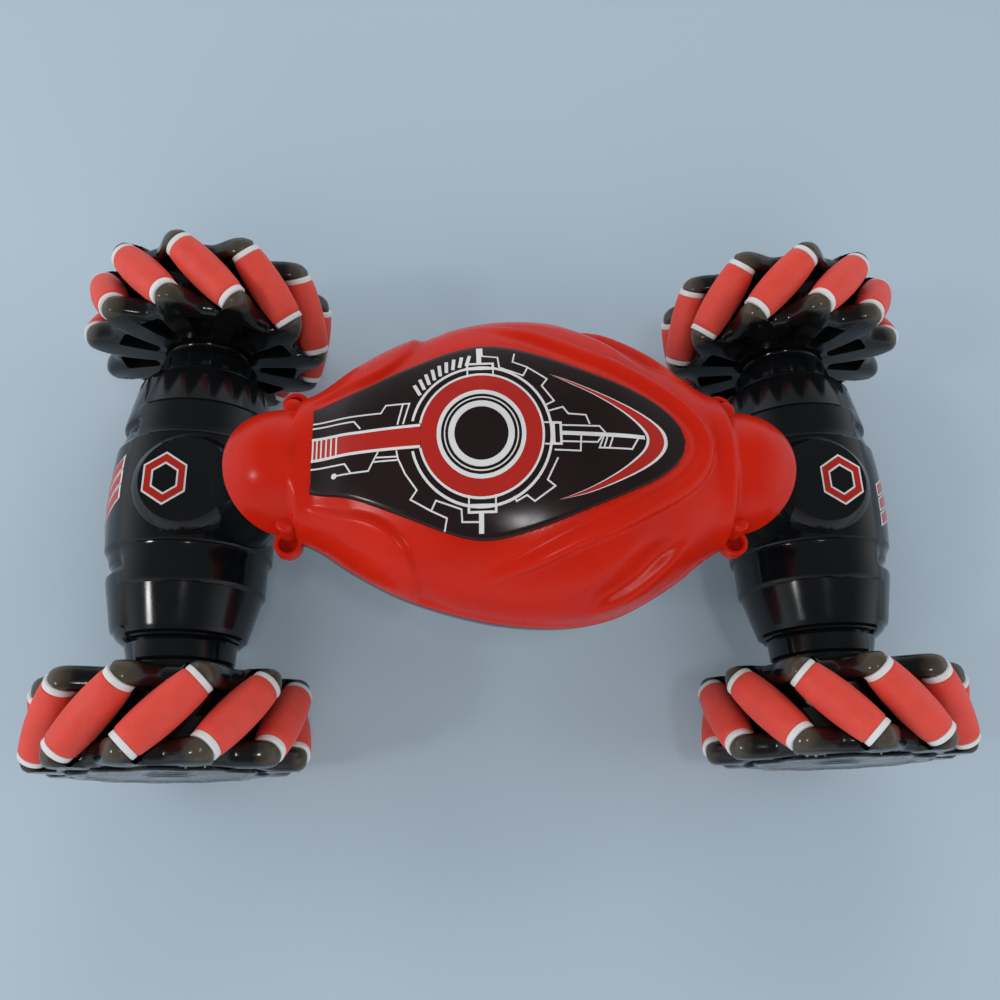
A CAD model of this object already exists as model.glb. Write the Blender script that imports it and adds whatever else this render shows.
"""Remote-control stunt car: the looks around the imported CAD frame. Metres, +X front, +Z up."""
from math import asin, cos, hypot, pi, radians, sin, sqrt

import bmesh
import bpy
import numpy as np
from mathutils import Matrix, Vector
from mathutils.bvhtree import BVHTree


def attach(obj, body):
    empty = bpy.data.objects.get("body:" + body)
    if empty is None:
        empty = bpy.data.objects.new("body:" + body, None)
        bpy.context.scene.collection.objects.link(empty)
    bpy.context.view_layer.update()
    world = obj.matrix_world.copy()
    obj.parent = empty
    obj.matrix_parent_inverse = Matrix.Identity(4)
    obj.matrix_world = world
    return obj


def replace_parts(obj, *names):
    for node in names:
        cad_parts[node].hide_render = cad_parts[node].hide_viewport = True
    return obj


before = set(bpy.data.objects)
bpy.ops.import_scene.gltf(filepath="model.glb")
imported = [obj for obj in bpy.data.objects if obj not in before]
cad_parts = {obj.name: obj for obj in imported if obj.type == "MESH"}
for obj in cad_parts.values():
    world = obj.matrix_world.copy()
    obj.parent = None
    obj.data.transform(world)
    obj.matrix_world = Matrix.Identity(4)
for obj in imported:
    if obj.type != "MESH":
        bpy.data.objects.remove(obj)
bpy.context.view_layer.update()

MM = 0.001

# ---------- Driving sizes, in millimetres, as in the frame ----------
WHEEL_RADIUS = 46
HALF_WHEELBASE = 114.4
HALF_TRACK = 77.5
ROLLERS = 11
PITCH = 2 * pi / ROLLERS
SLANT = pi / 4
ROLLER_RADIUS = 6.5
ROLLER_END_RADIUS = 5.5
ROLLER_HALF = 13
BUSH_END = 14.9
PIN_CIRCLE = WHEEL_RADIUS - ROLLER_RADIUS
BALL_X = 76.6
BALL_Z = 82
BALL_RADIUS = 21.6
TWIST_TILT = radians(53)

# Wheel name, side of the car along X and Y, and angle of its first roller from the top
WHEELS = [
    ("rear_right", -1, -1, 10),
    ("rear_left", -1, 1, 9),
    ("front_right", 1, -1, 13.7),
    ("front_left", 1, 1, 16.3),
]

# Each row is [x, half width, height of the widest line, crown height, belly height]
BODY_SECTIONS = [
    (-78, 21.6, 82, 103.4, 76),
    (-65, 26.8, 84.5, 103.2, 70.5),
    (-52, 35.6, 86.5, 109, 66),
    (-35, 44.6, 88, 113.2, 62.5),
    (-12, 51.6, 88, 116, 61),
    (5, 53.6, 86.5, 116.6, 61),
    (20, 52.6, 83.5, 116.2, 61.5),
    (35, 48.4, 81, 114.8, 63),
    (52, 39, 79.8, 110.4, 66),
    (65, 29.4, 81, 106, 70.5),
    (78, 21.6, 82, 103.6, 76),
]
BODY_END = 76.2
SEAM = [(-80, 82), (-60, 85.5), (-35, 87), (0, 87), (20, 81.5), (40, 76.5), (60, 77.5), (80, 82)]
PANEL_OUTLINE = [
    (-65, 14.2), (-52, 17.7), (-34, 25.3), (-20, 31), (-10, 32.7), (2, 30.3), (20, 23.5),
    (38, 15.6), (46, 10.6), (51, 5), (52.6, 0),
]
PANEL_PROUD = 0.6


def value_at(rows, x, column=1):
    """Smooth curve through rows of x and values: cubic pieces with averaged slopes."""
    last = len(rows) - 1

    def slope(i):
        a, b = rows[max(i - 1, 0)], rows[min(i + 1, last)]
        return (b[column] - a[column]) / (b[0] - a[0])

    at = min(max(x, rows[0][0]), rows[last][0])
    i = 0
    while i < last - 1 and at > rows[i + 1][0]:
        i += 1
    span = rows[i + 1][0] - rows[i][0]
    t = (at - rows[i][0]) / span
    rise = rows[i + 1][column] - rows[i][column]
    s0, s1 = slope(i) * span, slope(i + 1) * span
    return rows[i][column] + t * (s0 + t * (3 * rise - 2 * s0 - s1 + t * (s0 + s1 - 2 * rise)))


def smooth_step(low, high, x):
    """Smooth rise from 0 at low to 1 at high."""
    t = min(max((x - low) / (high - low), 0.0), 1.0)
    return t * t * (3 - 2 * t)


# ---------- Mesh helpers ----------
def place_in_scene(name, data):
    """Object that shows the data."""
    obj = bpy.data.objects.new(name, data)
    bpy.context.scene.collection.objects.link(obj)
    return obj


def discard(obj):
    """Removes an object and its mesh."""
    mesh = obj.data
    bpy.data.objects.remove(obj)
    bpy.data.meshes.remove(mesh)


def new_object(name, points, faces, location=(0, 0, 0)):
    """Smooth mesh object from points in millimetres, with every face turned outwards."""
    mesh = bpy.data.meshes.new(name)
    mesh.from_pydata([tuple(c * MM for c in p) for p in points], [], faces)
    mesh.validate()
    mesh.shade_smooth()
    bm = bmesh.new()
    bm.from_mesh(mesh)
    bmesh.ops.recalc_face_normals(bm, faces=bm.faces)
    bm.to_mesh(mesh)
    bm.free()
    obj = place_in_scene(name, mesh)
    obj.location = [c * MM for c in location]
    return obj


def apply_modifiers(obj):
    """Bakes the object's modifiers into its mesh."""
    depsgraph = bpy.context.evaluated_depsgraph_get()
    mesh = bpy.data.meshes.new_from_object(obj.evaluated_get(depsgraph))
    obj.modifiers.clear()
    old = obj.data
    obj.data = mesh
    mesh.name = obj.name
    bpy.data.meshes.remove(old)
    return obj


def sharpen(obj, angle):
    """Smooth shading that stays crisp at edges over the angle, in degrees."""
    obj.data.shade_smooth()
    bm = bmesh.new()
    bm.from_mesh(obj.data)
    for edge in bm.edges:
        if len(edge.link_faces) == 2:
            edge.smooth = edge.calc_face_angle(0) < radians(angle)
    bm.to_mesh(obj.data)
    bm.free()


def bevel(obj, width, segments, angle):
    """Rounds the edges over the angle, in degrees."""
    modifier = obj.modifiers.new("bevel", "BEVEL")
    modifier.width = width * MM
    modifier.segments = segments
    modifier.limit_method = "ANGLE"
    modifier.angle_limit = radians(angle)
    return apply_modifiers(obj)


def cut(obj, part):
    """Takes a closed part, as points and faces, out of the object."""
    tool = new_object("cutter", *part)
    modifier = obj.modifiers.new("cut", "BOOLEAN")
    modifier.operation = "DIFFERENCE"
    modifier.object = tool
    modifier.solver = "EXACT"
    apply_modifiers(obj)
    discard(tool)


def lathe_parts(profile, sides, closed=False):
    """Points and faces of (radius, height) rows turned about Z. Ends on the axis close on one point."""
    points, faces, rings = [], [], []
    for radius, height in profile:
        count = sides if radius else 1
        rings.append([len(points) + i % count for i in range(sides)])
        turns = [2 * pi * i / sides for i in range(count)]
        points += [(radius * cos(t), radius * sin(t), height) for t in turns]
    for a, b in zip(rings, rings[1:] + (rings[:1] if closed else [])):
        for i in range(sides):
            j = (i + 1) % sides
            corners = tuple(dict.fromkeys((a[i], a[j], b[j], b[i])))
            if len(corners) > 2:
                faces.append(corners)
    return points, faces


def grid_faces(rows, columns):
    """Faces of an open grid of cells, its points row by row."""
    n = columns + 1
    corners = (0, 1, n + 1, n)
    return [tuple(i * n + j + c for c in corners) for i in range(rows) for j in range(columns)]


def tube_faces(rings, n):
    """Walls between rings of n points each."""
    corners = [(i, (i + 1) % n, n + (i + 1) % n, n + i) for i in range(n)]
    return [tuple(k * n + c for c in face) for k in range(rings - 1) for face in corners]


def ring_faces(stations, n):
    """Faces of a closed profile of n points carried round a closed loop of stations."""
    faces = []
    for i in range(stations):
        a, b = i * n, (i + 1) % stations * n
        faces += [(a + k, b + k, b + (k + 1) % n, a + (k + 1) % n) for k in range(n)]
    return faces


def sheet_faces(rows, columns):
    """Faces of a thin closed sheet: a grid of cells, the same grid again above it, and the edge between."""
    n = columns + 1
    m = (rows + 1) * n
    faces = grid_faces(rows, columns)
    faces += [tuple(m + i for i in reversed(face)) for face in faces]
    edge = [i * n for i in range(rows)] + [rows * n + j for j in range(columns)]
    edge += [i * n + columns for i in range(rows, 0, -1)] + list(range(columns, 0, -1))
    return faces + [(a, b, m + b, m + a) for a, b in zip(edge, edge[1:] + edge[:1])]


def rounded(profile, radius, steps=4):
    """Profile with each inner corner replaced by a small arc-like run of points."""
    out = [profile[0]]
    for before, corner, after in zip(profile, profile[1:], profile[2:]):
        a, c, b = Vector(before), Vector(corner), Vector(after)
        cut = min(radius, (a - c).length * 0.45, (b - c).length * 0.45)
        start, end = c + (a - c).normalized() * cut, c + (b - c).normalized() * cut
        for k in range(steps + 1):
            t = k / steps
            out.append(tuple(start * (1 - t) ** 2 + c * 2 * t * (1 - t) + end * t * t))
    out.append(profile[-1])
    return out


def axes_matrix(z_axis, x_hint=(1, 0, 0), origin=(0, 0, 0)):
    """Matrix whose Z runs along z_axis, with X as near the hint as it can be."""
    z = Vector(z_axis).normalized()
    x = Vector(x_hint)
    x = (x - z * x.dot(z)).normalized()
    y = z.cross(x)
    matrix = Matrix((x, y, z)).transposed().to_4x4()
    matrix.translation = Vector(origin)
    return matrix


def prism_parts(outline, low, high):
    """Closed prism of an (x, y) outline between two heights."""
    n = len(outline)
    points = [(x, y, low) for x, y in outline] + [(x, y, high) for x, y in outline]
    return points, [tuple(reversed(range(n))), tuple(range(n, 2 * n))] + tube_faces(2, n)


def merged(parts):
    """One list of points and faces from several."""
    points, faces = [], []
    for p, f in parts:
        base = len(points)
        points += p
        faces += [tuple(i + base for i in face) for face in f]
    return points, faces


def moved(part, matrix):
    """Points and faces with the matrix applied."""
    points, faces = part
    return [tuple(matrix @ Vector(p)) for p in points], faces


# ---------- Materials ----------
class Wiring:
    """Adds nodes to a tree: each socket's value is a number, a colour, or another node's output."""

    def __init__(self, tree):
        self.tree = tree

    def fill(self, node, values):
        """Sets or links sockets of a node."""
        for socket, value in values.items():
            if isinstance(value, bpy.types.NodeSocket):
                self.tree.links.new(value, node.inputs[socket])
            else:
                node.inputs[socket].default_value = value
        return node

    def add(self, kind, values, operation=None):
        """New node with its sockets filled."""
        node = self.tree.nodes.new("ShaderNode" + kind)
        if operation:
            node.operation = operation
        return self.fill(node, values)

    def noise(self, scale, detail, roughness=0.55):
        """Noise fixed to the piece."""
        place = self.add("TexCoord", {}).outputs["Object"]
        values = {"Vector": place, "Scale": scale, "Detail": detail, "Roughness": roughness}
        return self.add("TexNoise", values).outputs["Fac"]

    def ramp(self, fac, low, high, start=0.3, end=0.7):
        """Blend of two colours."""
        node = self.add("ValToRGB", {"Fac": fac})
        for stop, place, colour in zip(node.color_ramp.elements, (start, end), (low, high)):
            stop.position = place
            stop.color = (*colour, 1)
        return node.outputs["Color"]

    def span(self, fac, low, high):
        """A value that wanders between two levels."""
        return self.ramp(fac, (low,) * 3, (high,) * 3)

    def bumps(self, *layers):
        """Chain of bumps from (fac, strength, distance in mm)."""
        chain = {}
        for fac, strength, distance in layers:
            node = self.add("Bump", {"Height": fac, "Strength": strength, "Distance": distance * MM, **chain})
            chain = {"Normal": node.outputs["Normal"]}
        return chain["Normal"]


def new_paint(name):
    """Node material, and the wiring of its tree."""
    material = bpy.data.materials.new(name)
    material.use_nodes = True
    return material, Wiring(material.node_tree)


def coated(material, values):
    """Puts values and outputs on the material's shader."""
    Wiring(material.node_tree).fill(material.node_tree.nodes["Principled BSDF"], values)
    return material


def plastic(name, colour, deeper, roughness, grain=0.05, ripple=0.08, shine=0.5):
    """Moulded plastic: slight colour drift, smudges in the gloss, fine grain and slow ripples."""
    material, wire = new_paint(name)
    return coated(material, {
        "Base Color": wire.ramp(wire.noise(38, 3), deeper, colour),
        "Roughness": wire.span(wire.noise(95, 6, 0.7), *roughness),
        "Specular IOR Level": shine,
        "Normal": wire.bumps((wire.noise(900, 2), grain, 0.05), (wire.noise(45, 1), ripple, 0.4)),
    })


def rubber(name, colour, deeper):
    """Matte moulded rubber with a fine tooth and faint scuffs."""
    material, wire = new_paint(name)
    return coated(material, {
        "Base Color": wire.ramp(wire.noise(120, 5, 0.65), deeper, colour, 0.25, 0.6),
        "Roughness": wire.span(wire.noise(260, 4), 0.5, 0.68),
        "Sheen Weight": 0.04,
        "Sheen Roughness": 0.5,
        "Normal": wire.bumps((wire.noise(2200, 2), 0.25, 0.05), (wire.noise(180, 3), 0.12, 0.15)),
    })


def smoked(name):
    """Smoked translucent plastic: near black, and olive brown in the thin tips far from the axle."""
    material, wire = new_paint(name)
    place = wire.add("TexCoord", {}).outputs["Object"]
    flat = wire.add("VectorMath", {0: place, 1: (1, 0, 1)}, "MULTIPLY").outputs["Vector"]
    reach = wire.add("VectorMath", {0: flat}, "LENGTH").outputs["Value"]
    cloudy = wire.add("Math", {0: wire.noise(160, 3), 1: 4 * MM, 2: reach}, "MULTIPLY_ADD").outputs["Value"]
    tip = wire.add("MapRange", {"Value": cloudy, "From Min": 42.5 * MM, "From Max": 46.8 * MM})
    return coated(material, {
        "Base Color": wire.ramp(tip.outputs["Result"], (0.005,) * 3, (0.075, 0.062, 0.043), 0.05, 0.95),
        "Roughness": wire.span(wire.noise(110, 5), 0.08, 0.2),
        "Specular IOR Level": 0.4,
        "Transmission Weight": 0.12,
        "IOR": 1.5,
        "Normal": wire.bumps((wire.noise(55, 2), 0.15, 0.3)),
    })


def metal(name, colour, roughness=0.35):
    """Brushed metal with darker worn patches."""
    material, wire = new_paint(name)
    wear = wire.noise(300, 5)
    return coated(material, {
        "Metallic": 1,
        "Base Color": wire.ramp(wear, [c * 0.7 for c in colour], colour),
        "Roughness": wire.span(wear, roughness - 0.08, roughness + 0.1),
        "Normal": wire.bumps((wire.noise(900, 3), 0.12, 0.05)),
    })


# Colour, deeper colour and roughness range of each finish, then its grain, ripples and shine where set
RED = plastic("red_plastic", (0.56, 0.015, 0.0035), (0.48, 0.012, 0.003), (0.2, 0.29), 0.03, 0.04, 0.2)
BLACK = plastic("black_gloss", (0.005, 0.006, 0.007), (0.003, 0.004, 0.0045), (0.1, 0.17), shine=0.38)
PANEL = plastic("panel_gloss", (0.016, 0.0075, 0.0075), (0.01, 0.005, 0.005), (0.15, 0.22), 0.01, 0.04, 0.36)
SMOKE = smoked("smoked_plastic")
RUBBER = rubber("red_rubber", (0.7, 0.06, 0.038), (0.6, 0.044, 0.028))
WHITE = plastic("white_plastic", (0.72, 0.72, 0.71), (0.6, 0.6, 0.59), (0.35, 0.5))
PRINT_WHITE = plastic("print_white", (0.7, 0.7, 0.69), (0.56, 0.56, 0.56), (0.15, 0.3), 0.02, 0.02)
PRINT_RED = plastic("print_red", (0.42, 0.018, 0.012), (0.34, 0.013, 0.009), (0.1, 0.2), 0.02, 0.02)
PRINT_GREY = plastic("print_grey", (0.3, 0.3, 0.31), (0.24, 0.24, 0.25), (0.15, 0.3), 0.02, 0.02)
STEEL = metal("steel", (0.5, 0.5, 0.52))
DARK_MATTE = plastic("dark_matte", (0.012, 0.012, 0.013), (0.008, 0.008, 0.009), (0.4, 0.55), 0.3)
BOARD = plastic("board_green", (0.01, 0.13, 0.05), (0.006, 0.09, 0.035), (0.3, 0.45))
WRAP = plastic("battery_wrap", (0.02, 0.1, 0.35), (0.015, 0.07, 0.26), (0.2, 0.35))


def finish_piece(obj, body, material, angle):
    """Crisp edges over the angle, material, slot and body of a piece."""
    sharpen(obj, angle)
    obj.data.materials.clear()
    obj.data.materials.append(material)
    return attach(obj, body)


def make_piece(name, part, body, material, angle=32, location=(0, 0, 0)):
    """Finished piece from points and faces."""
    return finish_piece(new_object(name, *part, location=location), body, material, angle)


# ---------- Wheels ----------
CHORD = 2 * PIN_CIRCLE * sin(PITCH / 2)
RING_STEPS = 24 * ROLLERS
CLAW_LOW, CLAW_MID, CLAW_HIGH = 36.4, 41.8, 45
CLAW_START = 6.15
CLAW_FACE = 15.1
CLAW_CLEAR = 6.9
RING_FLOOR = 7.2
# Rounded end of a claw as [distance below its tip, height over the ring's floor]
CLAW_ROUND = [
    (2.6, 0), (1.3, 0.4), (0.45, 1.2), (0.08, 2.3), (0, 3.4), (0.08, 4.8), (0.5, 6.2), (1.3, 7.2), (2.6, 7.9),
]
PIN = [(0, -17.6), (1.2, -17.6), (1.5, -17.2), (1.5, 17.2), (1.2, 17.6), (0, 17.6)]
DISC_RADIUS, DISC_LOBE = 30.4, 1.7


def claw_radius(angle):
    """Saw-tooth outline of the hub ring: each claw is highest just behind the roller end that it holds."""
    along = (angle % PITCH) / PITCH
    f = (along - CLAW_START / CHORD) % 1
    if f < 0.22:
        return CLAW_MID + (CLAW_HIGH - CLAW_MID) * smooth_step(0, 0.12, f)
    if f < 0.92:
        return CLAW_HIGH + (CLAW_LOW - CLAW_HIGH) * smooth_step(0.2, 0.72, f)
    return CLAW_LOW + (CLAW_MID - CLAW_LOW) * smooth_step(0.92, 1, f)


def half_hub_parts():
    """Clawed ring of one side of a wheel: outwards is +Z, the first roller at +X, rollers leaning to +Y."""
    points = []
    for i in range(RING_STEPS):
        a = 2 * pi * i / RING_STEPS
        tip = claw_radius(a)
        rows = [(10, 0.05), (31.5, 0.05), (31.5, RING_FLOOR)]
        rows += [(tip - under, RING_FLOOR + up) for under, up in CLAW_ROUND]
        rows += [(31, 15.4), (24, 15.6), (10, 15.6)]
        points += [(r * cos(a), r * sin(a), z) for r, z in rows]
    ring = new_object("half_hub", points, ring_faces(RING_STEPS, len(rows)))

    cutters = []
    bore = rounded([(0, -CLAW_FACE), (CLAW_CLEAR, -CLAW_FACE), (CLAW_CLEAR, CLAW_FACE), (0, CLAW_FACE)], 0.5, 2)
    for k in range(ROLLERS):
        a = k * PITCH
        axis = Vector((-sin(a) * sin(SLANT), cos(a) * sin(SLANT), cos(SLANT)))
        centre = Vector((cos(a), sin(a), 0)) * PIN_CIRCLE
        cutters.append(moved(lathe_parts(bore, 40), axes_matrix(axis, (cos(a), sin(a), 0), centre)))
    cut(ring, merged(cutters))

    pockets = []
    outline = [(20, -2.2), (32, -5), (33, -4), (33, 3.4), (32, 4.4), (20, 2.2), (19.2, 1.2), (19.2, -1.2)]
    for k in range(ROLLERS):
        turn = Matrix.Rotation(k * PITCH - 0.05 * PITCH, 4, "Z")
        pockets.append(moved(prism_parts(outline, 10.8, 17), turn))
    cut(ring, merged(pockets))
    return bevel(ring, 0.6, 3, 38)


HALF_HUB = half_hub_parts()


def copy_half_hub(name, turn, mirrored):
    """Half hub in a wheel's own axes."""
    mesh = HALF_HUB.data.copy()
    mesh.transform(turn)
    if mirrored:
        mesh.flip_normals()
    return place_in_scene(name, mesh)


def wheel_pieces(name, sx, sy, first):
    """Both half hubs, cap, pins, and the eleven rollers with their bushes."""
    body = name + "_wheel"
    slant = sx * sy
    centre = Vector((sx * HALF_WHEELBASE, sy * HALF_TRACK, WHEEL_RADIUS))

    def radial(angle):
        return Vector((sin(angle), 0, cos(angle)))

    def along(angle):
        return Vector((cos(angle), 0, -sin(angle)))

    start = radians(first)
    for side, label in ((sy, "outer"), (-sy, "inner")):
        y_axis = along(start) * slant * side
        basis = Matrix((radial(start), y_axis, Vector((0, side, 0)))).transposed().to_4x4()
        half = copy_half_hub(f"{name}_hub_{label}", basis, slant < 0)
        half.location = centre * MM
        finish_piece(half, body, SMOKE, 40)
        if label == "outer":
            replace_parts(half, name + "_wheel_hub")
            cap_pieces(name, body, centre, basis)
        else:
            inner_boss(name, body, centre, basis)

    pins = []
    for k in range(ROLLERS):
        angle = start + k * PITCH
        axis = Vector((0, cos(SLANT), 0)) + along(angle) * slant * sin(SLANT)
        middle = radial(angle) * PIN_CIRCLE
        matrix = axes_matrix(axis, radial(angle), middle)
        pins.append(moved(lathe_parts(PIN, 16), matrix))
        roller_pieces(f"{name}_roller_{k + 1:02d}", centre + middle, axes_matrix(axis, radial(angle)))
    make_piece(name + "_roller_pins", merged(pins), body, STEEL, location=centre)


def roller_pieces(node, place, matrix):
    """Barrel-shaped rubber sleeve on a white bush that shows at both ends."""
    end = [
        (3.5, ROLLER_HALF - 0.25),
        (ROLLER_END_RADIUS - 0.9, ROLLER_HALF),
        (ROLLER_END_RADIUS - 0.3, ROLLER_HALF - 0.2),
    ]
    sleeve = [(r, -s) for r, s in end]
    steps = 12
    for i in range(steps + 1):
        s = (2 * i / steps - 1) * (ROLLER_HALF - 0.7)
        sleeve.append((ROLLER_RADIUS - (ROLLER_RADIUS - ROLLER_END_RADIUS) * (s / ROLLER_HALF) ** 2, s))
    sleeve += reversed(end)
    rubber_part = moved(lathe_parts(sleeve, 48, True), matrix)
    sleeve_piece = make_piece(node + "_sleeve", rubber_part, node, RUBBER, 50, place)
    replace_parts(sleeve_piece, node)

    edge, mouth = ROLLER_HALF - 0.2, BUSH_END
    half = [
        (3.45, edge - 0.6),
        (4.9, edge),
        (5.3, edge + 0.2),
        (5.3, mouth - 0.35),
        (5.05, mouth - 0.06),
        (4.6, mouth),
        (2.1, mouth),
        (1.75, mouth - 0.3),
    ]
    bush = lathe_parts(half + [(r, -s) for r, s in reversed(half)], 40, True)
    make_piece(node + "_bush", moved(bush, matrix), node, WHITE, 50, place)


def cap_pieces(name, body, centre, basis):
    """Lobed disc, ring of moulded ticks and screw cap on a wheel's outer face."""
    def build(label, part, material, slot="smoke_hub", angle=30):
        make_piece(f"{name}_hub_{label}", moved(part, basis), body, material, angle, centre)

    steps = 16 * ROLLERS
    points = []
    rows = [
        (0, 15.3), (1, 15.3), (1, 15.9), (0.985, 16.25), (0.955, 16.4), (0.9, 16.4), (0.86, 16.1), (0, 16.1),
    ]
    for i in range(steps):
        a = 2 * pi * i / steps
        lobe = DISC_RADIUS + DISC_LOBE * cos(ROLLERS * a - 0.7)
        reach = [(max(share * lobe, 6), z) for share, z in rows]
        points += [(r * cos(a), r * sin(a), z) for r, z in reach]
    build("disc", (points, ring_faces(steps, len(rows))), SMOKE)

    tick = prism_parts([(24.6, -0.15), (27.4, -1.25), (27.4, 1.25), (24.6, 0.15)], 15.9, 16.35)
    count = 4 * ROLLERS
    ticks = [moved(tick, Matrix.Rotation(2 * pi * k / count, 4, "Z")) for k in range(count)]
    build("ticks", merged(ticks), PRINT_GREY, angle=32)

    cap = rounded([(0, 16.65), (6.2, 16.65), (7.6, 16.2), (9.2, 16.2), (9.6, 15.4), (0, 15.4)], 0.4, 3)
    build("cap", lathe_parts(cap, 64), BLACK)
    build("screw", screw_parts(2.6, 16.2, 16.6), STEEL, "drive_metal")


def screw_parts(radius, low, high):
    """Dished screw head with a cross recess modelled as four raised quarters."""
    parts = [lathe_parts([(0, low), (radius, low), (radius, low + 0.2), (0, low + 0.2)], 32)]
    slot = radius * 0.16
    rim = radius * 0.97
    start = asin(slot / radius)
    turns = [start + (pi / 2 - 2 * start) * i / 8 for i in range(9)]
    quarter = prism_parts([(slot, slot)] + [(rim * cos(t), rim * sin(t)) for t in turns], low + 0.19, high)
    parts += [moved(quarter, Matrix.Rotation(q * pi / 2, 4, "Z")) for q in range(4)]
    return merged(parts)


def inner_boss(name, body, centre, basis):
    """Round boss of the hub that runs against the axle housing."""
    profile = rounded([(3.2, 15.3), (15.6, 15.3), (14.8, 16.7), (3.2, 16.7)], 0.3, 2)
    boss = moved(lathe_parts(profile, 64, True), basis)
    make_piece(name + "_hub_boss", boss, body, BLACK, 30, centre)


# ---------- Axle units ----------
TURN_BACK = Matrix.Rotation(pi, 4, "Z")
TWIST_AXIS = Vector((cos(TWIST_TILT), 0, -sin(TWIST_TILT)))
BALL_CENTRE = Vector((BALL_X, 0, BALL_Z))

# Half profiles of the barrel as [distance from the middle, radius]: over most of it, and on its outer side
BARREL_PLAIN = [
    (0, 29.4), (10, 29.2), (19.2, 28.9), (19.8, 28.5), (20.1, 27.9), (20.7, 27.7), (32.2, 27.3),
    (33, 26.9), (33.6, 26.3), (47, 22.5), (48.4, 22), (48.9, 21.2), (49.1, 20.5), (49.6, 20.5),
    (50, 20.2), (50.3, 19.2), (51, 18.8), (56.6, 18.5), (57.2, 18), (57.4, 16.6), (60.2, 16.4),
]
BARREL_OUTER = [
    (0, 29.6), (10, 29.4), (18.4, 28.7), (20.5, 27.4), (23.4, 26.6), (24.6, 25.6), (26, 25.2),
    (27.2, 25.6), (27.8, 26.6), (28.4, 27.1), (29.4, 27.2), (45.4, 24.1), (46.4, 23.7),
    (47.2, 22.6), (48.4, 22), (50, 20.2), (51, 18.8), (60.2, 16.4),
]
STRIP_EDGE = radians(52)
STRIP_BLEND = radians(5)
CAP_X = 110
EMBLEM_X = 116.4
EMBLEM_SQUASH = 0.86
STICKER_START = -7.5
STICKER_STEP = 5.6


def lerp(rows, x):
    """Straight-line value through rows of x and value."""
    for (x0, v0), (x1, v1) in zip(rows, rows[1:]):
        if x <= x1:
            return v0 + (v1 - v0) * (x - x0) / (x1 - x0)
    return rows[-1][1]


def barrel_radius(y, side):
    """Barrel radius at distance y from the middle and angle side from the outward direction."""
    plain = lerp(BARREL_PLAIN, abs(y))
    outer = lerp(BARREL_OUTER, abs(y))
    share = 1 - smooth_step(STRIP_EDGE - STRIP_BLEND, STRIP_EDGE + STRIP_BLEND, abs(side))
    return plain + (outer - plain) * share


def axle_pieces(name, sx):
    """Barrel, cap, neck, emblem and sticker of one axle unit, made at the front and turned for the rear."""
    body = name + "_axle_unit"
    turn = Matrix.Identity(4) if sx > 0 else TURN_BACK

    def build(label, part, material, slot, angle=30):
        return make_piece(f"{name}_axle_{label}", moved(part, turn), body, material, angle)

    barrel = build("barrel", barrel_parts(), BLACK, "black_housing", 24)
    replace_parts(barrel, name + "_axle_housing")

    cap = [
        (0, 79.1), (13.5, 79.05), (15.2, 78.85), (15.6, 78.5), (17.6, 76.5),
        (18.1, 75.7), (18.3, 74.8), (18.8, 62), (16, 58), (0, 58),
    ]
    build("cap", moved(lathe_parts(cap, 128), Matrix.Translation((CAP_X, 0, 0))), BLACK, "black_housing")

    neck = [(0, -12), (15.2, -12)]
    for i in range(9):
        a = radians(-37 + 37 * i / 8)
        neck.append((19.2 * cos(a), 19.2 * sin(a)))
    neck += [(19, 4), (18.4, 8), (18.2, 20), (19, 26), (0, 30)]
    matrix = axes_matrix(TWIST_AXIS, (0, 1, 0), BALL_CENTRE)
    build("neck", moved(lathe_parts(neck, 96), matrix), BLACK, "black_housing")

    build("emblem_white", emblem_parts(5.2, 9.6, 79.0, 79.22), PRINT_WHITE, "print_white")
    build("emblem_red", emblem_parts(6, 8.8, 79.1, 79.3), PRINT_RED, "print_red")
    sticker_pieces(build)


def barrel_parts():
    """Barrel of an axle unit about the wheel axis, closed at both ends."""
    rows = sorted({y for y, _ in BARREL_PLAIN} | {y for y, _ in BARREL_OUTER})
    rows = [-y for y in reversed(rows) if y] + rows
    sides = 144
    points = []
    for y in rows:
        for i in range(sides):
            side = 2 * pi * i / sides - pi
            r = barrel_radius(y, side)
            points.append((HALF_WHEELBASE + r * cos(side), y, WHEEL_RADIUS + r * sin(side)))
    low = tuple(range(sides))
    high = tuple(len(points) - 1 - i for i in low)
    return points, tube_faces(len(rows), sides) + [low, high]


def ring_prism(outer, inner, low, high):
    """Closed band between two outlines with the same number of points."""
    points = []
    for (xa, ya), (xb, yb) in zip(outer, inner):
        points += [(xa, ya, low), (xa, ya, high), (xb, yb, high), (xb, yb, low)]
    return points, ring_faces(len(outer), 4)


def hexagon(radius):
    """Six corners, slightly narrow along X."""
    turns = [pi / 6 + pi / 3 * i for i in range(6)]
    return [(radius * EMBLEM_SQUASH * cos(t), radius * sin(t)) for t in turns]


def emblem_parts(inner, outer, low, high):
    """Plain six-sided ring printed on the cap."""
    return moved(ring_prism(hexagon(outer), hexagon(inner), low, high), Matrix.Translation((EMBLEM_X, 0, 0)))


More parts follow.
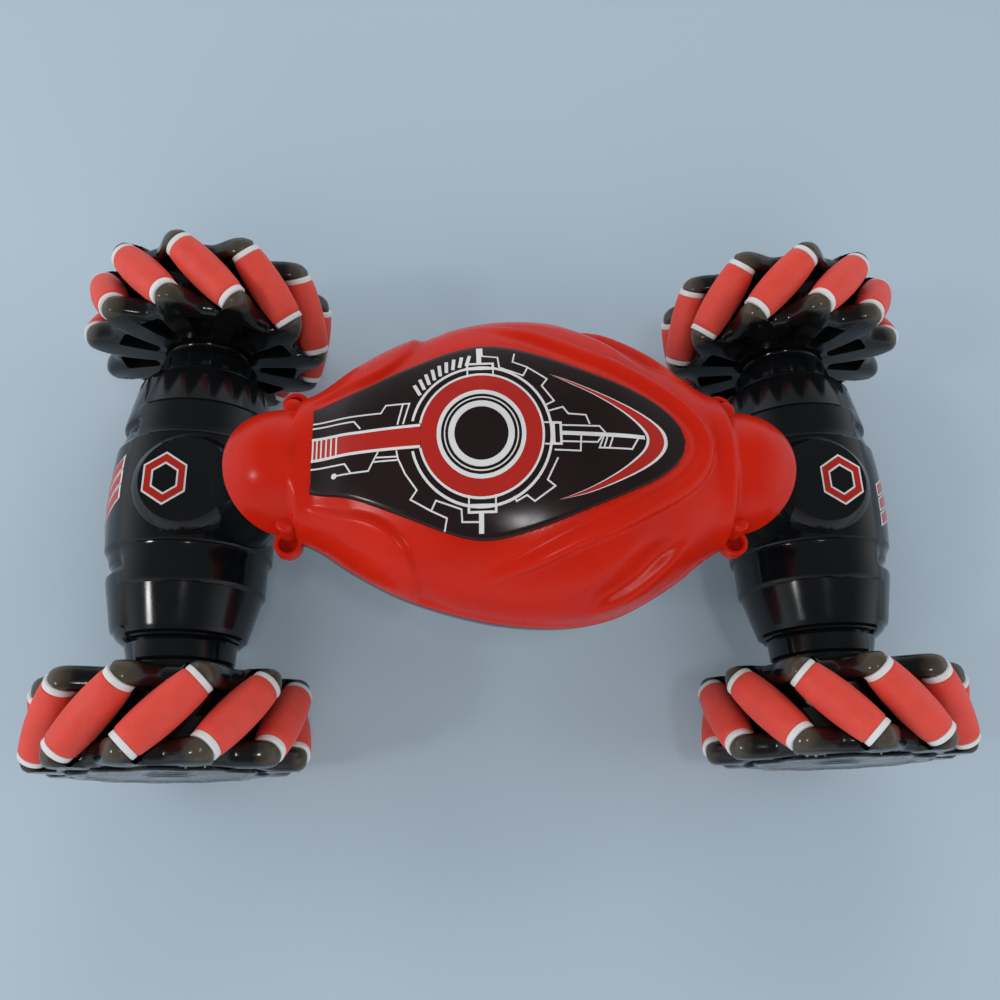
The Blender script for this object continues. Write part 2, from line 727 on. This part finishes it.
def sticker_pieces(build):
    """Slanted bars printed on the barrel's outer side."""
    def on_barrel(y, side, lift):
        r = barrel_radius(y, side) + lift
        return (HALF_WHEELBASE + r * cos(side), y, WHEEL_RADIUS + r * sin(side))

    def patch(y0, y1, s0, s1, skew, lift):
        """Thin closed patch that follows the barrel between two distances and two angles."""
        cols, ranks = 8, 4
        points = []
        for height in (lift - 0.25, lift):
            for i in range(cols + 1):
                side = radians(s0 + (s1 - s0) * i / cols)
                for j in range(ranks + 1):
                    y = y0 + (y1 - y0) * j / ranks + skew * (i / cols - 0.5)
                    points.append(on_barrel(y, side, height))
        return points, sheet_faces(cols, ranks)

    white, red = [], []
    for k in range(3):
        y = STICKER_START + STICKER_STEP * k
        white.append(patch(y, y + 5, 2, 48, -12, 0.12))
        red.append(patch(y + 0.6, y + 4.4, 4, 46, -11, 0.22))
    build("sticker_white", merged(white), PRINT_WHITE, "print_white")
    build("sticker_red", merged(red), PRINT_RED, "print_red")


# ---------- Body shells ----------
UPPER_POWER = 2.3
LOWER_POWER = 2.5
SHELL_WALL = 1.6
SOCKET_RADIUS = 20.1
DOME_TURN = radians(53)
DOME_STATION = BALL_X + 20
PANEL_SINK = 1.6
SEAM_FADE = 5

# Moulded lines of the side as [x, degrees down from the crest]; the left side mirrors the right
RIM_LINE = [(-13.5, 63), (-6, 53.5), (2, 47), (17, 37), (36, 29), (51.8, 21.5), (59.5, 11.5), (62, 0)]
GILL_LINE = [(19, 79), (24, 73), (37.3, 62), (48, 50), (56, 42)]
SCOOP_LINE = [
    (-74, 50), (-66.7, 43.5), (-57.2, 40), (-49.3, 37), (-42.2, 38.6), (-36.5, 46), (-33.8, 58),
    (-32.7, 75), (-32.5, 95),
]


def ball_share(x):
    """How far the body's section has turned into the ball dome's round one."""
    return smooth_step(69.6, 72.4, abs(x))


def skin_point(x, angle):
    """Point of the plain skin: angle 0 on the left, a quarter turn at the crest, half a turn on the right."""
    half, mid = value_at(BODY_SECTIONS, x, 1), value_at(BODY_SECTIONS, x, 2)
    top, belly = value_at(BODY_SECTIONS, x, 3), value_at(BODY_SECTIONS, x, 4)
    c, s = cos(angle), sin(angle)
    power, height = (2 / UPPER_POWER, top - mid) if s >= 0 else (2 / LOWER_POWER, mid - belly)
    y = (half * abs(c) ** power) * (1 if c >= 0 else -1)
    z = mid + (height * abs(s) ** power) * (1 if s >= 0 else -1)
    share = ball_share(x)
    return Vector((x, y + (BALL_RADIUS * c - y) * share, z + (BALL_Z + BALL_RADIUS * s - z) * share))


def seam_angle(x):
    """Angle below or above the widest line at which the two shells meet."""
    mid = value_at(BODY_SECTIONS, x, 2)
    rise = value_at(SEAM, x) - mid
    if rise >= 0:
        plain = asin((rise / (value_at(BODY_SECTIONS, x, 3) - mid)) ** (UPPER_POWER / 2))
    else:
        plain = -asin((-rise / (mid - value_at(BODY_SECTIONS, x, 4))) ** (LOWER_POWER / 2))
    return plain * (1 - ball_share(x))


def degree_length(x):
    """Millimetres that one degree of angle spans on the skin at x, as on an ellipse's quarter."""
    half = value_at(BODY_SECTIONS, x, 1)
    height = value_at(BODY_SECTIONS, x, 3) - value_at(BODY_SECTIONS, x, 2)
    return pi / 2 * sqrt((half * half + height * height) / 2) / 90


def smooth_line(rows, steps=8):
    """Denser points on a curve through the rows."""
    out = []
    last = len(rows) - 1
    for i in range(last):
        p0, p1, p2, p3 = (Vector(rows[min(max(k, 0), last)]) for k in (i - 1, i, i + 1, i + 2))
        for k in range(steps):
            t = k / steps
            out.append(tuple(
                0.5 * (2 * p1 + (p2 - p0) * t + (2 * p0 - 5 * p1 + 4 * p2 - p3) * t * t
                       + (3 * p1 - p0 - 3 * p2 + p3) * t ** 3)
            ))
    return out + [tuple(rows[-1])]


def side_distance(line, xs, downs):
    """Signed distance from a moulded line to every grid point, and share of the way along the line."""
    path = np.array([(x, down * degree_length(x)) for x, down in smooth_line(line)])
    start, step = path[:-1], path[1:] - path[:-1]
    lengths = np.hypot(step[:, 0], step[:, 1])
    before = np.concatenate([[0], np.cumsum(lengths)[:-1]])
    points = np.stack([xs, downs], -1)[:, None, :]
    t = np.clip(((points - start) * step).sum(-1) / (lengths ** 2), 0, 1)
    away = points - (start + t[..., None] * step)
    distance = np.hypot(away[..., 0], away[..., 1])
    best = distance.argmin(1)
    rows = np.arange(len(xs))
    cross = step[best, 0] * away[rows, best, 1] - step[best, 1] * away[rows, best, 0]
    along = (before[best] + t[rows, best] * lengths[best]) / lengths.sum()
    return distance[rows, best] * np.sign(cross), along


def steps_of(values, rows):
    """Smoothly joined levels: rows are [distance, level]."""
    out = np.full_like(values, rows[0][1])
    for (a, low), (b, high) in zip(rows, rows[1:]):
        t = np.clip((values - a) / (b - a), 0, 1)
        out += (high - low) * t * t * (3 - 2 * t)
    return out


def moulded_lift(xs, downs):
    """How far the moulded rim, gill and scoop stand off the plain skin."""
    rim, along = side_distance(RIM_LINE, xs, downs)
    lift = steps_of(rim, [(-6.4, 0), (-5.6, -0.25), (-1.1, 1.5), (0.1, 1.5), (1.9, -0.7), (11, 0)])
    lift *= steps_of(along, [(0, 0), (0.28, 1.1), (0.5, 1)])
    gill, along = side_distance(GILL_LINE, xs, downs)
    cut = steps_of(gill, [(-13, 0), (-1.2, -2.8), (-0.4, -2.8), (3.2, 1), (12, 0)])
    lift += cut * steps_of(along, [(0, 0), (0.3, 1), (0.65, 1), (1, 0)])
    scoop, along = side_distance(SCOOP_LINE, xs, downs)
    hollow = steps_of(-scoop, [(-0.6, 0), (2.4, -1.6), (14, -0.6)])
    lift += hollow * steps_of(along, [(0.05, 0), (0.25, 1)]) * (scoop < 6)
    return lift


def panel_half(x):
    """Half width of the panel at a station."""
    return value_at(PANEL_OUTLINE, x) if x < PANEL_OUTLINE[-1][0] else 0


def skin_normal(x, angle):
    """Outward direction of the skin, from near points on both sides."""
    ahead, behind = skin_point(x + 0.05, angle), skin_point(x - 0.05, angle)
    right, left = skin_point(x, angle + 0.001), skin_point(x, angle - 0.001)
    return (right - left).cross(ahead - behind).normalized()


def skin_sample(x, share):
    """Station, place and normal on the skin at a share of the way from seam to seam, its distances from
    the crest and from the seam, and how far it sinks under the panel."""
    low = seam_angle(x)
    angle = low + (pi - 2 * low) * share
    point = skin_point(x, angle)
    crest = abs(angle - pi / 2) * 180 / pi * degree_length(x)
    seam = min(angle - low, pi - low - angle) * 180 / pi * degree_length(x)
    inside = panel_half(x) - abs(point.y) if PANEL_OUTLINE[0][0] < x else -1
    sink = PANEL_SINK * smooth_step(0.5, 1.5, min(inside, x - PANEL_OUTLINE[0][0]))
    return x, point, skin_normal(x, angle), crest, seam, sink


def dome_sample(end, turn, angle):
    """The same for a place on a ball's dome, which carries no relief."""
    normal = Vector((end * sin(angle) * sin(turn), cos(angle), sin(angle) * cos(turn)))
    return end * DOME_STATION, Vector((end * BALL_X, 0, BALL_Z)) + normal * BALL_RADIUS, normal, 60, 0, 0


def upper_shell_parts():
    """Skin from seam to seam, sunk under the panel, and carried on over both balls."""
    across, rows, ball_rows = 150, 190, 22
    samples = []
    for i in range(-ball_rows, rows + ball_rows + 1):
        for j in range(across + 1):
            if 0 <= i <= rows:
                samples.append(skin_sample(BALL_X * (2 * i / rows - 1), j / across))
            else:
                end, past = (1, i - rows) if i > rows else (-1, -i)
                samples.append(dome_sample(end, DOME_TURN * past / ball_rows, pi * j / across))
    xs, places, normals, crests, seams, sinks = zip(*samples)
    lift = moulded_lift(np.array(xs), np.array(crests))
    lift *= 1 - steps_of(np.abs(xs), [(64, 0), (70, 1)])
    lift *= steps_of(np.array(seams), [(0, 0), (SEAM_FADE, 1)])
    points = [tuple(p + n * (float(h) - d)) for p, n, h, d in zip(places, normals, lift, sinks)]
    return points, grid_faces(rows + 2 * ball_rows, across)


def lower_shell_parts():
    """Skin below the seam, and the faces that close it into a block for cutting."""
    across, rows = 72, 120
    points = []
    for i in range(rows + 1):
        x = (BODY_END - 0.2) * (2 * i / rows - 1)
        low = seam_angle(x) - radians(0.4)
        for j in range(across + 1):
            angle = low - (pi + 2 * low) * j / across
            points.append(tuple(skin_point(x, angle)))
    n = across + 1
    lid = [(i * n, (i + 1) * n, (i + 1) * n + across, i * n + across) for i in range(rows)]
    ends = [tuple(range(n)), tuple(rows * n + j for j in range(n))]
    return points, grid_faces(rows, across), lid + ends


def keep_faces_on(obj, points, faces):
    """Leaves only the faces that lie on the given surface."""
    tree = BVHTree.FromPolygons([Vector(p) * MM for p in points], faces)
    bm = bmesh.new()
    bm.from_mesh(obj.data)
    away = [f for f in bm.faces if tree.find_nearest(f.calc_center_median())[3] > 0.02 * MM]
    bmesh.ops.delete(bm, geom=away, context="FACES")
    bm.to_mesh(obj.data)
    bm.free()
    return obj


def walled(obj):
    """Turns an open skin's faces away from the body's middle line, and gives it its wall, inwards."""
    face = max(obj.data.polygons, key=lambda f: abs(f.center.y))
    if face.normal.y * face.center.y < 0:
        obj.data.flip_normals()
    modifier = obj.modifiers.new("wall", "SOLIDIFY")
    modifier.thickness = SHELL_WALL * MM
    modifier.offset = -1
    modifier.use_even_offset = True
    return apply_modifiers(obj)


EAR_X = 73.4
EAR_Y = 24.8


def ear_parts(sx, sy):
    """Screw ear beside a ball: an open cup, with a taller rounded post between it and the ball."""
    cup = rounded([(0, 79), (3.6, 79), (4.6, 80), (4.6, 84.6), (3.1, 84.6), (2.9, 81), (0, 81)], 0.35, 2)
    parts = [moved(lathe_parts(cup, 40), Matrix.Translation((sx * EAR_X, sy * EAR_Y, 0)))]
    post = rounded([(0, 80), (3.3, 80), (3.1, 92), (0, 92.6)], 0.9, 4)
    parts.append(moved(lathe_parts(post, 32), Matrix.Translation((sx * EAR_X, sy * (EAR_Y - 4.4), 0))))
    return merged(parts)


def body_pieces():
    """Upper shell with its ears, and the lower shell."""
    shell = walled(new_object("upper_shell_skin", *upper_shell_parts()))
    finish_piece(shell, "root", RED, 40)
    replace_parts(shell, "upper_shell")
    ears = merged([ear_parts(sx, sy) for sx in (-1, 1) for sy in (-1, 1)])
    make_piece("screw_ears", ears, "root", RED, 35)

    points, skin, closing = lower_shell_parts()
    under = new_object("lower_shell_skin", points, skin + closing)
    cut(under, belly_cutters())
    walled(keep_faces_on(under, points, skin))
    finish_piece(under, "root", BLACK, 40)
    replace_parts(under, "lower_shell")


# ---------- Belly: battery door, screws and power switch ----------
BAY_X, BAY_LENGTH, BAY_WIDTH = -4, 62, 34
DOOR_SCREW_X, DOOR_SCREW_Z = BAY_X + 25, 61.6
DOOR_LOW, DOOR_HIGH = 60, 63.4
SWITCH_X, SLOT_LENGTH, SLOT_WIDTH = 44, 9, 4
SWITCH_OFF_X = 42.5
SHELL_SCREWS = [(x, y) for x in (-54, 54) for y in (-15, 15)]
WELL_FLOOR = 73
WELL_RADIUS = 3.1


def box_outline(length, width, x, corner):
    """Rectangle in plan with round corners, on the middle line."""
    a, b = length / 2 - corner, width / 2 - corner
    out = []
    for q, (sx, sy) in enumerate(((1, 1), (-1, 1), (-1, -1), (1, -1))):
        for i in range(7):
            t = pi / 2 * (q + i / 6)
            out.append((x + sx * a + corner * cos(t), sy * b + corner * sin(t)))
    return out


def battery_door():
    """Door with a dished place for its screw."""
    plan = box_outline(BAY_LENGTH - 0.7, BAY_WIDTH - 0.7, BAY_X, 2.2)
    door = new_object("battery_door", *prism_parts(plan, DOOR_LOW + 0.5, DOOR_HIGH))
    dish = lathe_parts([(0, 59), (4.6, 59), (3.4, DOOR_SCREW_Z), (0, DOOR_SCREW_Z)], 48)
    cut(door, moved(dish, Matrix.Translation((DOOR_SCREW_X, 0, 0))))
    finish_piece(bevel(door, 0.4, 3, 40), "root", DARK_MATTE, 40)
    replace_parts(door, "battery_cover")


def door_relief():
    """Finger ribs, arrow and frame on the door."""
    parts = [
        prism_parts(box_outline(1.1, 24, BAY_X - 25 + 3 * k, 0.5), DOOR_LOW, DOOR_LOW + 1) for k in range(6)
    ]
    arrow = [(x + BAY_X, y) for x, y in ((0, 2), (8, 2), (8, 5), (14, 0), (8, -5), (8, -2), (0, -2))]
    parts.append(prism_parts(arrow, DOOR_LOW + 0.1, DOOR_LOW + 1))
    outer = box_outline(BAY_LENGTH - 3, BAY_WIDTH - 3, BAY_X, 1.6)
    inner = box_outline(BAY_LENGTH - 5, BAY_WIDTH - 5, BAY_X, 1)
    parts.append(ring_prism(outer, inner, DOOR_LOW + 0.1, DOOR_LOW + 1))
    relief = new_object("battery_door_relief", *merged(parts))
    finish_piece(bevel(relief, 0.2, 2, 40), "root", DARK_MATTE, 40)


def belly_screws():
    """The shell's four sunk screws in their wells, and the door's screw."""
    heads, wells = [], []
    under = Matrix.Rotation(pi, 4, "X")
    for x, y in SHELL_SCREWS:
        low = skin_point(x, -pi / 2).z
        outer, inner = WELL_RADIUS + 1.1, WELL_RADIUS
        well = [(0, WELL_FLOOR + 1), (outer, WELL_FLOOR + 1), (outer, low + 2.6), (inner, low + 2.6)]
        well += [(inner, WELL_FLOOR), (0, WELL_FLOOR)]
        wells.append(moved(lathe_parts(well, 40), Matrix.Translation((x, y, 0))))
        heads.append(moved(screw_parts(2.7, 0, 0.9), Matrix.Translation((x, y, WELL_FLOOR)) @ under))
    heads.append(moved(screw_parts(2.6, 0, 0.8), Matrix.Translation((DOOR_SCREW_X, 0, DOOR_SCREW_Z)) @ under))
    make_piece("shell_screw_wells", merged(wells), "root", BLACK, 30)
    make_piece("shell_screws", merged(heads), "root", STEEL, 30)


def switch_grip():
    """Ridges on the power switch."""
    belly = value_at(BODY_SECTIONS, SWITCH_X, 4)
    plans = [box_outline(0.6, SLOT_WIDTH - 1, SWITCH_OFF_X - 1.8 + 1.2 * k, 0.25) for k in range(4)]
    ridges = [prism_parts(plan, belly - 2.1, belly - 1.2) for plan in plans]
    make_piece("switch_grip", merged(ridges), "power_switch", DARK_MATTE, 30)


def belly_cutters():
    """What is cut out of the lower shell: battery opening, switch slot, screw holes and ball sockets."""
    socket = [(0, -26), (SOCKET_RADIUS, -26), (SOCKET_RADIUS, 30), (0, 30)]
    cuts = [
        prism_parts(box_outline(BAY_LENGTH, BAY_WIDTH, BAY_X, 2.4), 50, 72),
        prism_parts(box_outline(SLOT_LENGTH, SLOT_WIDTH, SWITCH_X, 0.6), 50, 72),
    ]
    hole = lathe_parts([(0, 50), (WELL_RADIUS, 50), (WELL_RADIUS, 76), (0, 76)], 40)
    cuts += [moved(hole, Matrix.Translation((x, y, 0))) for x, y in SHELL_SCREWS]
    for end in (-1, 1):
        axis = Vector((end * TWIST_AXIS.x, 0, TWIST_AXIS.z))
        cuts.append(moved(lathe_parts(socket, 64), axes_matrix(axis, (0, 1, 0), (end * BALL_X, 0, BALL_Z))))
    return merged(cuts)


def dress_nodes():
    """Finishes of the CAD parts that show as they are."""
    looks = {"battery_pack": WRAP, "circuit_board": BOARD, "power_switch": DARK_MATTE}
    looks.update({name + "_drive_unit": STEEL for name in ("twist", "front", "rear")})
    for node, material in looks.items():
        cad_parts[node].material_slots[0].material = material


# ---------- Top panel and its print ----------
RING_X = -12
PRINT_STRETCH = 1.09
PRINT_DEPTH = 0.2
STROKE_STEP = 1.6
PLATE_EDGE = 0.75


def panel_top(x, y, lift=PANEL_PROUD):
    """Point of the panel's crowned surface over a place in plan."""
    half, mid = value_at(BODY_SECTIONS, x, 1), value_at(BODY_SECTIONS, x, 2)
    height = value_at(BODY_SECTIONS, x, 3) - mid
    return (x, y, mid + height * max(1 - abs(y / half) ** UPPER_POWER, 0) ** (1 / UPPER_POWER) + lift)


def panel_piece():
    """Crowned plate with a rolled edge, its top a fan of rows across the outline."""
    columns, across = 96, 48
    first, last = PANEL_OUTLINE[0][0], PANEL_OUTLINE[-1][0]
    layers = [(0, -0.9), (0, 0.15), (0.12, 0.42), (0.45, PANEL_PROUD)]

    def loop(inset, lift):
        """Closed outline at an inset from the panel's edge."""
        length = last - first - 2 * inset
        xs = [first + inset + length * sin(pi / 2 * i / columns) for i in range(columns + 1)]
        left = [(x, max(panel_half(x) - inset, 0)) for x in xs]
        right = [(x, -y) for x, y in reversed(left[:-1])]
        return [panel_top(x, y, lift) for x, y in left + right]

    points = []
    for inset, lift in layers:
        points += loop(inset, lift)
    n = len(points) // len(layers)
    faces = tube_faces(len(layers), n)
    base = (len(layers) - 1) * n
    previous = None
    for i in range(columns):
        left, right = base + i, base + n - 1 - i
        x, edge, _ = points[left]
        row = [left]
        for j in range(1, across):
            row.append(len(points))
            points.append(panel_top(x, edge * (1 - 2 * j / across)))
        row.append(right)
        if previous:
            faces += [(previous[j], previous[j + 1], row[j + 1], row[j]) for j in range(across)]
        previous = row
    faces += [(previous[j], previous[j + 1], base + columns) for j in range(across)]
    faces.append(tuple(range(n)))
    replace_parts(make_piece("panel_plate", (points, faces), "root", PANEL, 40), "top_panel")


def strip_parts(left, right, lift, across=1):
    """Thin closed strip on the panel between two plan curves with the same number of points."""
    points = []
    for height in (lift - PRINT_DEPTH, lift):
        for (xa, ya), (xb, yb) in zip(left, right):
            for k in range(across + 1):
                t = k / across
                points.append(panel_top(xa + (xb - xa) * t, ya + (yb - ya) * t, PANEL_PROUD + height))
    return points, sheet_faces(len(left) - 1, across)


def refined(path, step):
    """The same path with points no further apart than about the step."""
    out = []
    for a, b in zip(path, path[1:]):
        count = max(1, int(hypot(b[0] - a[0], b[1] - a[1]) / step))
        out += [(a[0] + (b[0] - a[0]) * k / count, a[1] + (b[1] - a[1]) * k / count) for k in range(count)]
    return out + [path[-1]]


def stroke(path, width, lift=0.1):
    """Printed line of even width along plan points, with mitred corners."""
    dense = refined(path, STROKE_STEP)
    left, right = [], []
    for i, p in enumerate(dense):
        a, b = Vector(dense[max(i - 1, 0)]), Vector(dense[min(i + 1, len(dense) - 1)])
        here = Vector(p)
        before = (here - a).normalized() if i else (b - here).normalized()
        after = (b - here).normalized() if i < len(dense) - 1 else before
        mean = (before + after).normalized()
        reach = width / 2 / max(mean.dot(after), 0.5)
        side = Vector((-mean.y, mean.x)) * reach
        left.append(tuple(here + side))
        right.append(tuple(here - side))
    return strip_parts(left, right, lift)


def ring_place(radius, turn):
    """Place in plan on a printed circle."""
    return (RING_X + radius * cos(turn), PRINT_STRETCH * radius * sin(turn))


def ring_band(inner, outer, lift, start=0, end=360, steps=96, across=1):
    """Printed arc about the ring's centre between two radii, from one angle to another in degrees."""
    turns = [radians(start + (end - start) * i / steps) for i in range(steps + 1)]
    edges = [[ring_place(radius, turn) for turn in turns] for radius in (inner, outer)]
    return strip_parts(*edges, lift, across)


def plate_with_slot(x0, x1, y0, y1):
    """Small printed plate with a dark slot, as four strokes."""
    half = PLATE_EDGE / 2
    paths = [[(x0, y), (x1, y)] for y in (y0 + half, y1 - half)]
    paths += [[(x, y0), (x, y1)] for x in (x0 + half, x1 - half)]
    return [stroke(path, PLATE_EDGE) for path in paths]


THIN = 0.5
WHITE_LINES = [
    # Frame lines left of the ring, above and below the stripe
    [(-64.6, 8.5), (-42.8, 8.4), (-41.3, 11), (-33.7, 11.1)],
    [(-64.6, 6.8), (-51.2, 6.6), (-49.1, 3.8)],
    [(-36, 11.1), (-37.6, 4)],
    [(-34, 11.1), (-35.9, 4)],
    [(-64.6, -7.1), (-53.7, -7.2), (-51.7, -10.4)],
    [(-57, -10.5), (-46.3, -10.4), (-43.4, -4.6)],
    [(-44.6, -7.7), (-37.4, -7.7)],
    [(-43.9, -6.4), (-37.6, -6.6)],
    # Stepped outline lines round the ring
    [
        (-37.8, -4.6), (-37.3, -7.2), (-35.1, -12.2), (-31.5, -17.5), (-33.4, -20.2), (-27.2, -23.9),
        (-22.5, -26.2), (-23.2, -30),
    ],
    [(-27.2, -23.9), (-25.8, -20.9), (-18.2, -23.8), (-18, -27.5), (-12.1, -27.7)],
    [(11, -8.3), (7.6, -15.3), (9.9, -17.2), (3.6, -21.8), (1.3, -20), (-1.8, -21.8), (-2.6, -20.3)],
    [(18.5, 0), (18, -6), (10, -5.8)],
    # Arrow frame right of the ring
    [(12.6, 2.4), (24.3, 2.4), (26, 0.3)],
    [(12.6, -3), (23.4, -3), (24.8, -1.1)],
    [(25.4, -1.1), (23.9, -4.8), (34.2, -4.8), (36.4, -1.1)],
    [(26.6, -1.1), (25.3, -4.8)],
    [(28.3, -1.1), (27, -4.8)],
    # Stepped lines on the left side of the ring
    [(-11.3, 31.4), (-11.3, 28), (-6.4, 27.3), (-6, 23.2), (1.4, 20), (3, 23.4)],
    [(-1, 28.8), (-1.7, 25.4), (2.7, 23.4), (8.8, 18.8), (7, 16.2), (10.6, 10.8), (8, 9.3)],
    [(8.9, 7.3), (13.2, 8.7), (14.8, 6.4), (20.3, 6.1), (21.3, 3)],
]
OUTER_SWEEP = [
    (9.8, 20.6), (13.8, 19.2), (22.2, 15.6), (32, 10.9), (40, 6.6), (44.8, 2.8), (46.1, -0.9), (45, -4.6),
    (41.2, -8.6), (35, -12.6), (26.7, -16.6), (19.2, -19.4), (10.9, -21.4),
]
INNER_SWEEP = [
    (9.8, 20.6), (16.2, 17.2), (22.2, 14.1), (28.9, 9.9), (34.7, 5.4), (38.3, 1.4), (39.1, -1.4), (37.6, -5),
    (32.6, -9.8), (26.8, -13.9), (19.3, -18), (10.9, -21.4),
]
STRIPE_TOP = [(-64.6, 2.8), (-49, 2.6), (-30.6, 3.3)]
STRIPE_LOW = [(-64.6, -4.4), (-49, -4.1), (-30.6, -3.8)]


def print_pieces():
    """Plain line art of the panel: rings round a dark disc, a stripe, stepped lines, an arrow and a sweep."""
    white = [stroke(path, THIN) for path in WHITE_LINES]
    white += [
        ring_band(8.2, 10.1, 0.12),
        ring_band(11, 11.4, 0.12),
        ring_band(12.3, 13.6, 0.12),
        ring_band(18.6, 19.3, 0.12, -168, 169),
        ring_band(21, 21.8, 0.12, -167, 168),
    ]
    white += [stroke(STRIPE_TOP, 0.9), stroke(STRIPE_LOW, 0.9)]
    white += [stroke([(x, -4.2), (x, 2.7)], THIN, 0.14) for x in (-64.2, -62.9, -61.5, -59.9, -58.3, -56.6)]
    # Brackets at the top, the bottom and the right of the ring
    for y0, y1, stem in ((22.4, 25.2, 31.4), (-22.4, -25.2, -31)):
        low, high = min(y0, y1), max(y0, y1)
        white += plate_with_slot(-16.4, -7.6, low, high)
        white += [stroke([(-12.3, y1), (-12.3, stem)], 1.5)]
        white += [stroke([(x, y0), (x, y0 * 0.88)], THIN) for x in (-16, -8)]
    white += plate_with_slot(9, 12.6, -4.2, 3.6)
    white += [stroke([(7.2, y), (9, y)], THIN) for y in (3.3, -3.9)]
    white += [stroke([(12.6, -0.2), (38.6, -0.6)], 1.3)]
    white += [stroke([(9.7, 3.2), (9.7, -3.8)], 1.4)]
    # Row of slanted ticks on an arc, in place of lettering
    for k in range(9):
        a = radians(101 + 5.6 * k)
        white.append(stroke([ring_place(22.6, a), ring_place(26.2, a - radians(4))], 1.1))
    outer, inner = smooth_line(OUTER_SWEEP), smooth_line(INNER_SWEEP)
    white.append(strip_parts(outer, smooth_line(scaled_sweep(OUTER_SWEEP, INNER_SWEEP, 0.16)), 0.12))
    white.append(strip_parts(smooth_line(scaled_sweep(INNER_SWEEP, OUTER_SWEEP, 0.14)), inner, 0.12))
    dot = [(-57 + 0.9 * cos(pi * i / 8), -10.5 + 0.9 * sin(pi * i / 8)) for i in range(9)]
    white.append(strip_parts(dot, [(x, -21 - y) for x, y in dot], 0.12))

    red = [
        ring_band(13.5, 18.6, 0.06, 0, 360, 96, 4),
        strip_parts(refined(STRIPE_TOP, 2), refined(STRIPE_LOW, 2), 0.06, 4),
        strip_parts(outer, matched(inner, outer), 0.06, 4),
    ]
    make_piece("panel_print_white", merged(white), "root", PRINT_WHITE, 30)
    make_piece("panel_print_red", merged(red), "root", PRINT_RED, 30)


def matched(path, other):
    """The path again with as many points as the other, evenly spread along it."""
    lengths = [0]
    for a, b in zip(path, path[1:]):
        lengths.append(lengths[-1] + hypot(b[0] - a[0], b[1] - a[1]))
    out = []
    for i in range(len(other)):
        at = lengths[-1] * i / (len(other) - 1)
        k = max(j for j in range(len(path) - 1) if lengths[j] <= at + 1e-9)
        t = min((at - lengths[k]) / (lengths[k + 1] - lengths[k]), 1)
        out.append(tuple(p + (q - p) * t for p, q in zip(path[k], path[k + 1])))
    return out


def scaled_sweep(path, other, share):
    """Rows moved a share of the way towards another outline, for the sweep's printed edges."""
    partner = matched(smooth_line(other), path)
    return [tuple(p + (q - p) * share for p, q in zip(a, b)) for a, b in zip(path, partner)]


# ---------- Camera, lights and floor ----------
CAMERA_PLACE = (-0.0252, -0.1164, 0.3684)
CAMERA_RIGHT = (0.9977, -0.0236, 0.0637)
CAMERA_UP = (-0.0003, 0.9362, 0.3514)
CAMERA_BACK = (-0.0679, -0.3506, 0.9341)
CAMERA_LENS = 32.85


def make_camera():
    """Camera high over the car's right side."""
    data = bpy.data.cameras.new("camera")
    data.sensor_width = 36
    data.lens = CAMERA_LENS
    camera = place_in_scene("camera", data)
    turn = Matrix((CAMERA_RIGHT, CAMERA_UP, CAMERA_BACK)).transposed().to_4x4()
    camera.matrix_world = Matrix.Translation(CAMERA_PLACE) @ turn
    bpy.context.scene.camera = camera


LIGHTS_AIM = Vector((0, 0, 0.05))
# Name, place, size in metres, power in watts, and whether gloss shows it
LIGHTS = [
    ("ceiling_lamp", (0.08, -0.24, 1.18), 0.1, 1, True),
    ("ceiling_lamp_left", (-0.9, -0.34, 0.9), 0.13, 1.8, True),
    ("soft_left", (-1.15, 0.15, 0.6), 1, 6, False),
    ("soft_right", (1.15, -0.1, 0.7), 1, 5, False),
    ("soft_back", (0.1, 1.2, 0.9), 1, 6, False),
    ("soft_front", (-0.1, -1.2, 0.9), 1, 6, False),
]


def area_light(name, place, size, power, reflected):
    """Square lamp that faces the car."""
    data = bpy.data.lights.new(name, "AREA")
    data.size = size
    data.energy = power
    light = place_in_scene(name, data)
    light.location = place
    light.visible_glossy = reflected
    light.rotation_euler = (LIGHTS_AIM - Vector(place)).to_track_quat("-Z", "Y").to_euler()


def make_stage():
    """Pale floor, a sky that is brighter near the horizon, and the lamps."""
    floor = new_object("floor", *lathe_parts([(0, -2), (1500, -2), (1500, 0), (0, 0)], 96))
    material, wire = new_paint("floor_paint")
    tone = wire.ramp(wire.noise(3, 2), (0.405, 0.505, 0.59), (0.425, 0.525, 0.61))
    floor.data.materials.append(coated(material, {"Base Color": tone, "Roughness": 0.85}))

    world = bpy.data.worlds.new("studio")
    bpy.context.scene.world = world
    world.use_nodes = True
    sky = Wiring(world.node_tree)
    split = sky.add("SeparateXYZ", {"Vector": sky.add("TexCoord", {}).outputs["Generated"]})
    levels = {"From Min": 0.1, "From Max": 0.8, "To Min": 0.85, "To Max": 0.16}
    glow = sky.add("MapRange", {"Value": split.outputs["Z"], **levels})
    glow.interpolation_type = "SMOOTHSTEP"
    backdrop = {"Color": (0.9, 0.94, 1, 1), "Strength": glow.outputs["Result"]}
    sky.fill(world.node_tree.nodes["Background"], backdrop)
    for light in LIGHTS:
        area_light(*light)
    bpy.context.scene.view_settings.view_transform = "Standard"


for wheel in WHEELS:
    wheel_pieces(*wheel)
axle_pieces("front", 1)
axle_pieces("rear", -1)
discard(HALF_HUB)
body_pieces()
battery_door()
door_relief()
belly_screws()
switch_grip()
dress_nodes()
panel_piece()
print_pieces()
make_camera()
make_stage()
